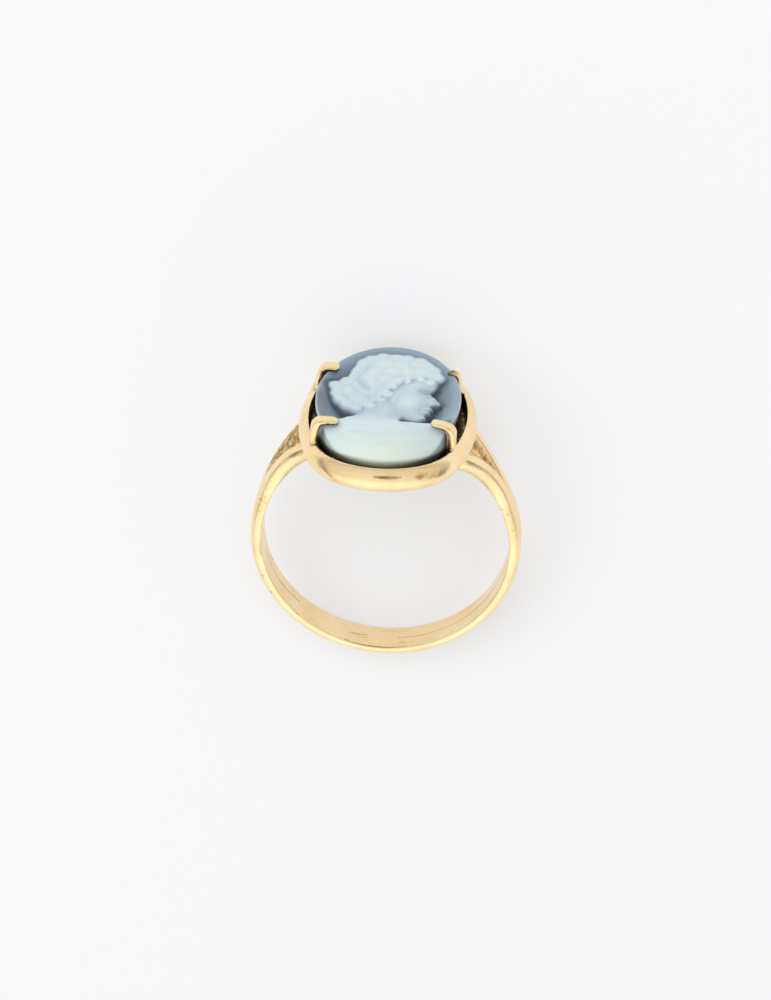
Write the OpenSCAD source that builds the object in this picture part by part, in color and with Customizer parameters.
// Cameo ring: a band of two soldered gold strands that part at the shoulders, a cushion-oval
// collar with four claws, and an oval layered agate carved with a classical head in profile.
// Modelled upright about the middle of the finger hole (finger along Y, stone up), then laid
// on its side on the XY plane, resting on the collar's rear end and the bottom of the band.

/* [Shank] */
// Radius of the finger hole
finger_r = 8.6; // [8:0.1:9.4]
// Thickness of the wire that one strand is made of
strand_d = 1.28; // [1.1:0.02:1.5]
// How far a strand stands out round the finger hole
strand_rise = 0.78; // [0.7:0.02:0.9]
// How deep the two strands are soldered into each other
strand_lap = 0.05; // [0.03:0.01:0.1]
// How far the shoulders are filed back all round where they run into the band
shoulder_step = 0.03; // [0.025:0.001:0.035]
// Angle from the bottom of the band to the place where the strands part
split_deg = 110; // [104:1:114]
// Distance between the strands' centres where they meet the collar
strand_spread = 3.8; // [3.2:0.1:4.2]
// How far a strand's end lies below the collar's lower edge
strand_drop = 0.3; // [0.1:0.05:0.4]
// How much the front strands lean outward where they leave the band, in degrees
shoulder_lean = 8; // [0:1:10]

/* [Collar] */
// Gap between the stone and the collar at the sides
side_gap = 0.43; // [0.38:0.01:0.5]
// Gap between the stone and the collar at the ends
end_gap = 0.25; // [0.2:0.01:0.35]
// Radius of the collar's two end curves
end_r = 6.2; // [5.8:0.1:6.6]
// Radius of the collar's two side curves
side_r = 11.5; // [10.5:0.1:12.5]
// Radius of the collar's four corner curves
corner_r = 4; // [3.7:0.1:4.3]
// Thickness of the collar's half-round wall
collar_wall = 0.7; // [0.6:0.01:0.8]
// Height of the collar's wall
collar_h = 1.8; // [1.6:0.02:2]
// How far the corner curves are filed back all round where they run into the other curves
corner_step = 0.012; // [0.01:0.001:0.02]
// How far the collar's lower edge lies below the top of the finger hole
collar_sink = 0.46; // [0.3:0.02:0.6]
// Width of the ledge inside the collar that carries the stone
ledge_w = 1; // [0.8:0.05:1.2]
// Thickness of the ledge
ledge_t = 0.28; // [0.24:0.01:0.32]
// Height of the ledge's upper face above the collar's lower edge
ledge_rise = 0.76; // [0.7:0.02:0.9]
// Gap between the stone and the metal
stone_gap = 0.06; // [0.04:0.01:0.08]

/* [Claws] */
// Width of a claw
claw_w = 0.84; // [0.7:0.02:1]
// Thickness of a claw
claw_t = 0.34; // [0.3:0.01:0.4]
// How far a claw reaches over the stone
claw_reach = 0.96; // [0.8:0.02:1.1]

/* [Stone] */
// Width of the stone
stone_w = 9.86; // [9.7:0.02:9.96]
// Length of the stone
stone_l = 13.5; // [13.2:0.1:13.6]
// Thickness of the stone from its flat back to its rim
stone_t = 2.3; // [2:0.05:2.5]
// Depth of the hollowed field below the rim
field_depth = 0.75; // [0.6:0.05:0.9]
// Width of the sloping edge of what is carved
carved_edge = 0.45; // [0.4:0.05:0.8]
// Width of the bevel round the stone's back
back_bevel = 0.3; // [0.2:0.05:0.4]
// How far the stone's front edge is rounded down below the rim
front_drop = 1.25; // [1:0.05:1.3]

/* [Hidden] */
round_fn = 96;

strand_r = strand_d / 2;
strand_circle_r = finger_r + strand_rise - strand_r;
strand_y = strand_r - strand_lap / 2;
bead_r = strand_r * 1.08;
// Angles by which the soldered ends of strands and corner curves run on inside their neighbours
strand_run_in = 0.5;
corner_run_in = 1.5;

stone_a = stone_w / 2;
stone_b = stone_l / 2;
collar_a = stone_a + side_gap;
collar_b = stone_b + end_gap;
collar_z = finger_r - collar_sink;
ledge_top = collar_z + ledge_rise;
stone_z = ledge_top + stone_gap;
rim_z = stone_z + stone_t;
dome_r = (pow(collar_wall, 2) + pow(collar_h / 2, 2)) / (2 * collar_wall);
dome_in = dome_r - collar_wall;

// Meeting point of the circles that hold a corner curve's centre, one about the end curve's
// centre and one about the side curve's centre
function corner_centre(p, rp, q, rq) =
    let (d = norm(q - p), m = (rp * rp - rq * rq + d * d) / (2 * d),
         h = sqrt(rp * rp - m * m), u = (q - p) / d)
    p + m * u + h * [-u.y, u.x];

end_c = [0, collar_b - end_r];
side_c = [collar_a - side_r, 0];
corner_c = corner_centre(side_c, side_r - corner_r, end_c, end_r - corner_r);
end_dir = atan2(corner_c.y - end_c.y, corner_c.x - end_c.x);
side_dir = atan2(corner_c.y - side_c.y, corner_c.x - side_c.x);

// Distance from a point inside the collar, in its rear right quarter, to the wall's inner face
function inside_wall(p) =
    let (dir = atan2(p.y - corner_c.y, p.x - corner_c.x))
    dir < side_dir ? side_r - norm(p - side_c)
        : dir > end_dir ? end_r - norm(p - end_c) : corner_r - norm(p - corner_c);

// The side of the ring that lies down touches the floor at the collar's rear end and at the
// bottom of the rear strand: tilt is the slope of the line that touches both round sections
rear_c = [collar_b - dome_in, collar_z + collar_h / 2];
low_c = [strand_y, -strand_circle_r];
span = rear_c - low_c;
tilt = atan2(span.x, span.y) + asin((dome_r - strand_r) / norm(span));
floor_drop = low_c.x * cos(tilt) - low_c.y * sin(tilt) + strand_r;
head_reach = rim_z * cos(tilt) + stone_b * sin(tilt);
band_reach = strand_circle_r * cos(tilt) + strand_y * sin(tilt) + strand_r;

module lie_down()
    translate([0, (head_reach - band_reach) / 2, floor_drop])
        rotate([90 - tilt, 0, 0]) rotate([0, 0, 180]) children();

module about_finger() rotate([-90, 0, 0]) children();

// Band: both strands in one section, round the lower part of the ring
module band()
    about_finger() rotate([0, 0, 90 - split_deg])
        rotate_extrude(angle = 2 * split_deg, $fn = round_fn)
            for (side = [-1, 1])
                translate([strand_circle_r, side * strand_y]) circle(r = strand_r, $fn = 48);

// Wire bent in one arc from p along the direction t to the point q
module wire_arc(p, t, q) {
    chord = q - p;
    n = cross(t, chord) / norm(cross(t, chord));
    u = cross(n, t);
    half_turn = acos(t * chord / norm(chord));
    bend_r = norm(chord) / (2 * sin(half_turn));
    c = p + bend_r * u;
    multmatrix([[-u.x, t.x, n.x, c.x], [-u.y, t.y, n.y, c.y], [-u.z, t.z, n.z, c.z]])
        rotate_extrude(angle = 2 * half_turn, $fn = round_fn)
            translate([bend_r, 0]) circle(r = strand_r - shoulder_step, $fn = 48);
}

// Shoulders, one row each: side, end, spread at the collar as a share of strand_spread, and
// outward lean as a share of shoulder_lean
SHOULDERS = [
    // side, end, spread, lean
    [-1, -1, 1.00, 1],
    [ 1, -1, 1.20, 1],
    [-1,  1, 1.00, 0],
    [ 1,  1, 1.00, 0],
];
SIDE = 0; END = 1; SPREAD = 2; LEAN = 3;

// Shoulder: one strand from inside the band's end to its solder bead below the collar's wall
module shoulder(row) {
    start_deg = split_deg - strand_run_in;
    start = [row[SIDE] * strand_circle_r * sin(start_deg), row[END] * strand_y,
             -strand_circle_r * cos(start_deg)];
    lean_deg = start_deg - row[LEAN] * shoulder_lean;
    heading = [row[SIDE] * cos(lean_deg), 0, sin(lean_deg)];
    foot_y = row[SPREAD] * strand_spread / 2;
    foot_x = side_c.x + sqrt(pow(side_r, 2) - pow(foot_y, 2)) + collar_wall / 2;
    foot = [row[SIDE] * foot_x, row[END] * foot_y, collar_z - strand_drop];
    wire_arc(start, heading, foot);
    translate(foot) sphere(r = bead_r, $fn = 48);
}

// Section of the collar, all filed back by step: the half-round wall with its flat face inside,
// and the ledge that carries the stone
module wall_section(r, step) {
    intersection() {
        translate([r - dome_in, collar_h / 2]) circle(r = dome_r - step, $fn = 64);
        translate([r + step, step]) square([2 * collar_wall, collar_h - 2 * step]);
    }
    translate([r - ledge_w + step, ledge_rise - ledge_t + step])
        square([ledge_w + collar_wall / 2, ledge_t - 2 * step]);
}

// One curved stretch of the wall: centre c, radius r, from angle a0 to angle a1
module wall_arc(c, r, a0, a1, step = 0)
    translate([c.x, c.y, collar_z]) rotate([0, 0, a0])
        rotate_extrude(angle = a1 - a0, $fn = round_fn) wall_section(r, step);

// Collar: two side and two end stretches, joined by four corner stretches that run into them
module collar() {
    for (half = [0, 180]) rotate([0, 0, half]) {
        wall_arc(side_c, side_r, -side_dir, side_dir);
        wall_arc(end_c, end_r, end_dir, 180 - end_dir);
        for (hand = [0, 1]) mirror([hand, 0, 0])
            wall_arc(corner_c, corner_r, side_dir - corner_run_in, end_dir + corner_run_in,
                     corner_step);
    }
}

// Claws, one row each: side, end, place along the finger as a share of the stone's half length,
// and how far the arm is turned in degrees: 0 lies straight across, more points to the middle
CLAWS = [
    // side, end, place, turn
    [-1, -1, 0.56,  12],
    [ 1, -1, 0.56,  10],
    [-1,  1, 0.50,   2],
    [ 1,  1, 0.54, -10],
];
PLACE = 2; CLAW_TURN = 3;

// Claw: a bar that rises beside the stone from the ledge, bends over the rim and is soldered to
// the wall by its foot. Drawn in an upright plane, outward from the stone's edge at the claw
module claw_outline(leg_in, foot_out) {
    leg_out = leg_in + claw_t;
    low_z = ledge_top - ledge_t / 2;
    foot_top = collar_z + 0.8 * collar_h;
    arm_z = rim_z + stone_gap;
    arm_top = arm_z + claw_t;
    knee_r = claw_t * 1.5;
    knee_in = knee_r * 0.85;
    difference() {
        polygon([[-claw_reach, arm_z], [leg_in, arm_z], [leg_in, low_z], [foot_out, low_z],
                 [foot_out, foot_top], [leg_out, foot_top], [leg_out, arm_top],
                 [-claw_reach, arm_top]]);
        translate([leg_out - knee_in, arm_top - knee_in]) difference() {
            square(2 * knee_r);
            circle(r = knee_r, $fn = 48);
        }
    }
}

module claw(row) {
    edge = [stone_a * sqrt(1 - pow(row[PLACE], 2)), row[PLACE] * stone_b];
    square_dir = atan2(edge.y / pow(stone_b, 2), edge.x / pow(stone_a, 2));
    skew = square_dir - row[CLAW_TURN];
    leg_in = stone_gap + claw_w / 2 * tan(skew);
    foot_out = (inside_wall(edge) + collar_wall / 3) / cos(skew);
    mirror([row[SIDE] < 0 ? 1 : 0, 0, 0]) mirror([0, row[END] < 0 ? 1 : 0, 0])
        translate([edge.x, edge.y, 0]) rotate([0, 0, row[CLAW_TURN]])
            rotate([90, 0, 0]) translate([0, 0, -claw_w / 2])
                linear_extrude(claw_w) claw_outline(leg_in, foot_out);
}

// Gold mount: band, shoulders, collar and claws, soldered into one piece
module ring_mount()
    color([0.88, 0.74, 0.47]) lie_down() {
        difference() {
            union() {
                band();
                for (row = SHOULDERS) shoulder(row);
                collar();
            }
            about_finger() cylinder(r = finger_r, h = 2 * stone_l, center = true, $fn = round_fn);
        }
        for (row = CLAWS) claw(row);
    }

// Rounded forms of the carved bust, seen from the front with the face to the right. Places and
// half sizes are shares of the stone's half width and half length, and rise is a share of the
// depth of the field: 1 is level with the rim. Comb is the depth of the hair's waves, as a share
// of the same depth
FORMS = [
    //  x,     y,     half_w, half_l, turn, rise, comb
    [-0.08,  0.44,  0.66,   0.45,    0,  1.00, 0.16], // hair over the skull
    [ 0.40,  0.60,  0.34,   0.20,  -24,  0.98, 0.16], // waves over the forehead
    [-0.60,  0.14,  0.26,   0.22,   14,  1.00, 0.16], // knot of hair
    [-0.42, -0.10,  0.26,   0.17,   30,  0.90, 0.12], // hair at the nape
    [ 0.29,  0.10,  0.37,   0.40,    4,  0.88, 0.00], // face
    [ 0.49,  0.29,  0.19,   0.11,   10,  0.86, 0.00], // brow
    [ 0.60,  0.07,  0.20,   0.13,  -35,  0.84, 0.00], // nose
    [ 0.53, -0.14,  0.18,   0.09,    0,  0.84, 0.00], // lips
    [ 0.45, -0.28,  0.20,   0.12,    0,  0.84, 0.00], // chin
    [ 0.20, -0.15,  0.36,   0.22,   24,  0.84, 0.00], // jaw
    [-0.12, -0.36,  0.32,   0.42,  -10,  0.78, 0.00], // neck
];
X = 0; Y = 1; HALF_W = 2; HALF_L = 3; TURN = 4; RISE = 5; COMB = 6;
COMB_MIDDLE = [-0.60, 0.14]; // place the hair's waves run out from, shares of the half sizes
COMB_START = 0.8;    // distance from that place at which the waves begin
WAVES = 12;          // waves in a full turn about that place
WAVE_BEND = 34;      // how much the waves bend, in degrees for each mm outward
FIELD_FLAT = 0.6;    // share of the oval over which the field keeps its full depth
DRESS_Y = -0.42;     // upper edge of the dress at the middle of the stone, share of the half length
DRESS_SLOPE = -0.15; // how the dress's upper edge falls to the right, share of the half length
FOLD_PITCH = 1.05;   // distance from one fold of the dress to the next
FOLD_DEPTH = 0.10;   // depth of the folds, share of the field's depth

function smooth(t) = let (s = min(1, max(0, t))) s * s * (3 - 2 * s);

// Depth of the hair's waves at the point (u, v), from 0 on their backs to 1 between them, and 0
// at the place they run out from
function wave(u, v) =
    let (dx = (u - COMB_MIDDLE.x) * stone_a, dy = (v - COMB_MIDDLE.y) * stone_b, r = norm([dx, dy]))
    smooth(r - COMB_START) * (0.5 - 0.5 * cos(WAVES * atan2(dy, dx) + WAVE_BEND * r));

// Rise of one form at the point (u, v), both shares of the stone's half sizes: a sloping edge
// round a crowned top
function form_rise(f, u, v) =
    let (dx = (u - f[X]) * stone_a, dy = (v - f[Y]) * stone_b,
         half_w = f[HALF_W] * stone_a, half_l = f[HALF_L] * stone_b,
         e = norm([(dx * cos(f[TURN]) + dy * sin(f[TURN])) / half_w,
                   (dy * cos(f[TURN]) - dx * sin(f[TURN])) / half_l]))
    (f[RISE] * (1 - 0.2 * e * e) - f[COMB] * wave(u, v))
        * smooth((1 - e) * min(half_w, half_l) / carved_edge);

// The dress: a raised front below a sloping edge, with folds in arcs that hang from the neck
function dress_rise(u, v) =
    let (fold = 0.5 - 0.5 * cos(360 * norm([u * stone_a, v * stone_b]) / FOLD_PITCH))
    (1 - FOLD_DEPTH * fold) * smooth((DRESS_Y + DRESS_SLOPE * u - v) * stone_b / carved_edge);

function carving_rise(u, v) = max([for (f = FORMS) form_rise(f, u, v), dress_rise(u, v)]);

// Height of the stone's face: level rim, hollowed field with the carving in it, and a front part
// that is rounded down to the stone's front edge
function face_height(u, v) =
    let (e = norm([u, v]),
         dish = 1 - smooth((e - FIELD_FLAT) / (1 - FIELD_FLAT)),
         front = smooth((-v - 0.42) / 0.4) * pow(max(0, 2 * e - 1), 2))
    stone_t - front_drop * front - field_depth * dish * (1 - carving_rise(u, v));

// The face's points lie on a square grid that is bent onto the oval, so that its edge is the rim
COLS = 54;
ROWS = 74;
function oval_point(i, j) =
    let (p = 2 * i / COLS - 1, q = 2 * j / ROWS - 1)
    [p * sqrt(1 - q * q / 2), q * sqrt(1 - p * p / 2)];

face_points = [for (j = [0:ROWS], i = [0:COLS])
    let (w = oval_point(i, j)) [w.x * stone_a, w.y * stone_b, face_height(w.x, w.y)]];
function at(i, j) = j * (COLS + 1) + i;

// The grid's points round the rim, against the clock from the front left one
rim = concat([for (i = [0:COLS - 1]) at(i, 0)], [for (j = [0:ROWS - 1]) at(COLS, j)],
             [for (i = [COLS:-1:1]) at(i, ROWS)], [for (j = [ROWS:-1:1]) at(0, j)]);
rim_n = len(rim);
side_0 = len(face_points);
back_0 = side_0 + rim_n;
bevel_share = [1 - back_bevel / stone_a, 1 - back_bevel / stone_b];

// Cameo: one oval of layered agate, its pale layer carved and its back flat
module cameo_stone()
    color([0.62, 0.72, 0.8]) lie_down() translate([0, 0, stone_z])
        polyhedron(
            points = concat(face_points,
                [for (k = rim) [face_points[k].x, face_points[k].y, back_bevel]],
                [for (k = rim) [face_points[k].x * bevel_share.x, face_points[k].y * bevel_share.y, 0]]),
            faces = concat(
                [for (j = [0:ROWS - 1], i = [0:COLS - 1], half = [0, 1]) half == 0
                    ? [at(i, j), at(i + 1, j + 1), at(i + 1, j)]
                    : [at(i, j), at(i, j + 1), at(i + 1, j + 1)]],
                [for (k = [0:rim_n - 1], half = [0, 1]) let (m = (k + 1) % rim_n) half == 0
                    ? [rim[k], rim[m], side_0 + m]
                    : [rim[k], side_0 + m, side_0 + k]],
                [for (k = [0:rim_n - 1], half = [0, 1]) let (m = (k + 1) % rim_n) half == 0
                    ? [side_0 + k, side_0 + m, back_0 + m]
                    : [side_0 + k, back_0 + m, back_0 + k]],
                [[for (k = [0:rim_n - 1]) back_0 + k]]));

ring_mount();
cameo_stone();
